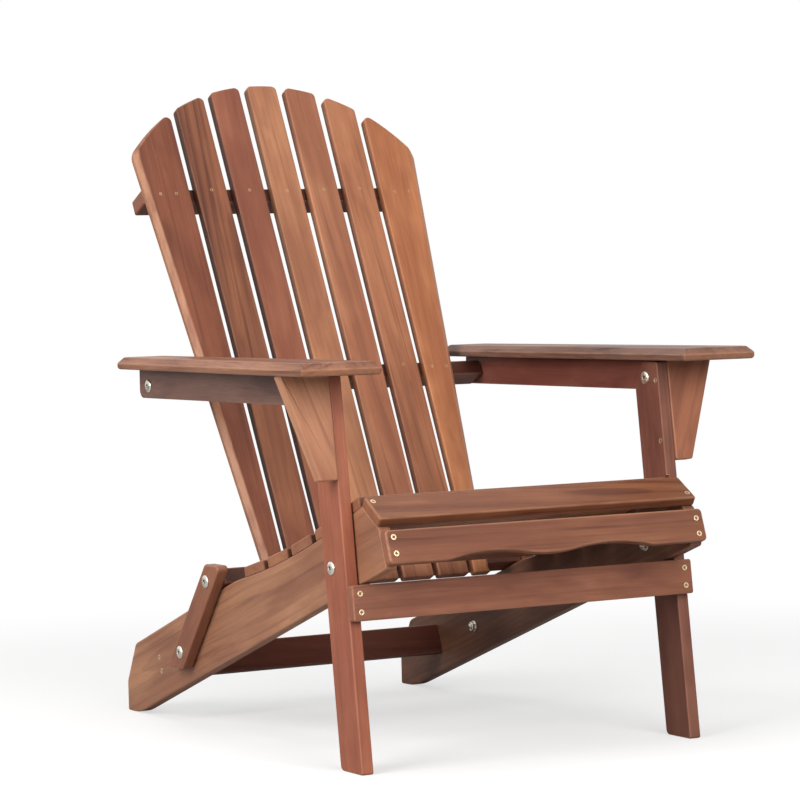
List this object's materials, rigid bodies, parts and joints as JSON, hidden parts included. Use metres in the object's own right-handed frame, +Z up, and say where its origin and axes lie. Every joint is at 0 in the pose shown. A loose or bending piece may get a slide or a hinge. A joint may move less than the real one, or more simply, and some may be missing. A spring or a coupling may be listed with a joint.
{
  "type": "folding slatted garden armchair",
  "caption": "Low slatted wooden garden armchair with a fanned round-topped back, broad flat arms and a sloping seat; folds flat on pivot bolts.",
  "frame": {"origin": "on the floor, under the middle of the chair's width and depth", "axes": "+Z up, the sitter faces -Y, the sitter's left hand is at +X"},
  "size_m": [0.714, 0.8506, 0.9565],
  "materials": {
    "frame_wood": "stained satin",
    "seat_slat_wood": "stained satin",
    "back_slat_wood": "stained satin",
    "arm_wood": "stained satin",
    "pivot_metal": "zinc plated"
  },
  "bodies": {
    "seat_frame": {"apron": "frame_wood", "front_slat": "seat_slat_wood", "leg_pivot_bolts": "pivot_metal", "link_pivot_bolts": "pivot_metal", "pivot_nuts": "pivot_metal", "rear_stretcher": "frame_wood", "seat_rail_left": "frame_wood", "seat_rail_right": "frame_wood", "seat_slat_1": "seat_slat_wood", "seat_slat_2": "seat_slat_wood", "seat_slat_3": "seat_slat_wood", "seat_slat_4": "seat_slat_wood", "seat_slat_5": "seat_slat_wood"},
    "left_arm": {"arm_bar_left": "frame_wood", "arm_left": "arm_wood"},
    "right_arm": {"arm_bar_right": "frame_wood", "arm_right": "arm_wood"},
    "backrest": {"arm_batten": "frame_wood", "arm_rear_bolts": "pivot_metal", "back_pivot_bolts": "pivot_metal", "back_slat_1": "back_slat_wood", "back_slat_2": "back_slat_wood", "back_slat_3": "back_slat_wood", "back_slat_4": "back_slat_wood", "back_slat_5": "back_slat_wood", "back_slat_6": "back_slat_wood", "back_slat_7": "back_slat_wood", "lower_batten": "frame_wood", "top_batten": "frame_wood"},
    "front_legs": {"arm_front_bolts": "pivot_metal", "corbel_left": "frame_wood", "corbel_right": "frame_wood", "front_leg_left": "frame_wood", "front_leg_right": "frame_wood", "front_stretcher": "frame_wood"},
    "left_link": {"rear_link_left": "frame_wood"},
    "right_link": {"rear_link_right": "frame_wood"}
  },
  "joints": [
    {"name": "back_fold", "type": "hinge", "parent": "left_link", "child": "backrest", "pos_m": [0, 0.09438, 0.22287], "axis": [1, 0, 0], "range_deg": [0, 181]},
    {"name": "leg_fold", "type": "hinge", "parent": "seat_frame", "child": "front_legs", "pos_m": [0, -0.29687, 0.26914], "axis": [1, 0, 0], "range_deg": [0, 64.93]},
    {"name": "left_link_fold", "type": "hinge", "parent": "seat_frame", "child": "left_link", "pos_m": [0, 0.18841, 0.11199], "axis": [1, 0, 0], "range_deg": [-86, 0]},
    {"name": "right_link_fold", "type": "hinge", "parent": "seat_frame", "child": "right_link", "pos_m": [0, 0.18841, 0.11199], "axis": [1, 0, 0], "range_deg": [-86, 0]},
    {"name": "left_arm_fold", "type": "hinge", "parent": "backrest", "child": "left_arm", "pos_m": [0, 0.22981, 0.503], "axis": [1, 0, 0], "range_deg": [-102.24, 0]},
    {"name": "right_arm_fold", "type": "hinge", "parent": "backrest", "child": "right_arm", "pos_m": [0, 0.22981, 0.503], "axis": [1, 0, 0], "range_deg": [-102.24, 0]}
  ],
  "couplings": [
    {"joint": "leg_fold", "follows": "back_fold", "ratio": 0.35871},
    {"joint": "left_link_fold", "follows": "back_fold", "ratio": -0.47514},
    {"joint": "right_link_fold", "follows": "back_fold", "ratio": -0.47514},
    {"joint": "left_arm_fold", "follows": "back_fold", "ratio": -0.56486},
    {"joint": "right_arm_fold", "follows": "back_fold", "ratio": -0.56486}
  ]
}
